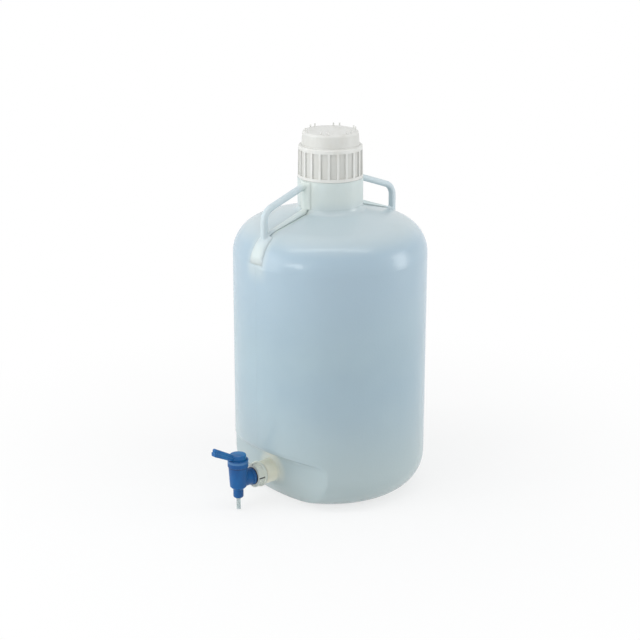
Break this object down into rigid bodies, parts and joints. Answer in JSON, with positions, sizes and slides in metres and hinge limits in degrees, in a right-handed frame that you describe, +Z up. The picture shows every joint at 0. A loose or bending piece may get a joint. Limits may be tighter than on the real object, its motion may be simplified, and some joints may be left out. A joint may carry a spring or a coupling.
{
  "type": "dispensing carboy",
  "caption": "Round translucent plastic carboy with loop handles on the shoulder, a ribbed two-tier screw closure and a lever stopcock spigot low on its side, for dispensing detergent or water.",
  "frame": {"origin": "centre of the bottle's base, on the surface that it stands on", "axes": "+Z up along the bottle's axis, -Y towards the spigot, +X to the right when facing the spigot from the front"},
  "size_m": [0.287, 0.3728, 0.5461],
  "materials": {
    "bottle_shell": "milky translucent, satin",
    "handle_plastic": "milky translucent, satin",
    "closure_plastic": "white, satin",
    "pale_rubber": "matte",
    "dark_rubber": "matte",
    "bushing_plastic": "milky translucent, satin",
    "spigot_plastic": "blue, semi-gloss",
    "key_plastic": "blue, semi-gloss",
    "tube_plastic": "clear, pale grey-green"
  },
  "bodies": {
    "bottle": {"bottle_body": "bottle_shell", "front_handle": "handle_plastic", "rear_handle": "handle_plastic", "bushing_gasket": "pale_rubber", "spigot_bushing": "bushing_plastic", "flange_washer": "dark_rubber", "spigot_body": "spigot_plastic", "key_retainer": "spigot_plastic", "outlet_tube": "tube_plastic"},
    "gasket": {"closure_gasket": "pale_rubber"},
    "closure": {"closure": "closure_plastic"},
    "stopcock": {"stopcock_key": "key_plastic", "upper_key_seal": "dark_rubber", "lower_key_seal": "dark_rubber"}
  },
  "joints": [
    {"name": "closure_lift", "type": "slide", "parent": "bottle", "child": "gasket", "axis": [0, 0, 1], "range_m": [0, 0.0121]},
    {"name": "closure_turn", "type": "hinge", "parent": "gasket", "child": "closure", "pos_m": [0, 0, 0.5175], "axis": [0, 0, 1], "range_deg": [0, 720]},
    {"name": "stopcock_turn", "type": "hinge", "parent": "bottle", "child": "stopcock", "pos_m": [0, -0.1805, 0.046], "axis": [0, 0, -1], "range_deg": [0, 90]}
  ],
  "couplings": [
    {"joint": "closure_lift", "follows": "closure_turn", "m_per_rad": 0.00095493}
  ]
}
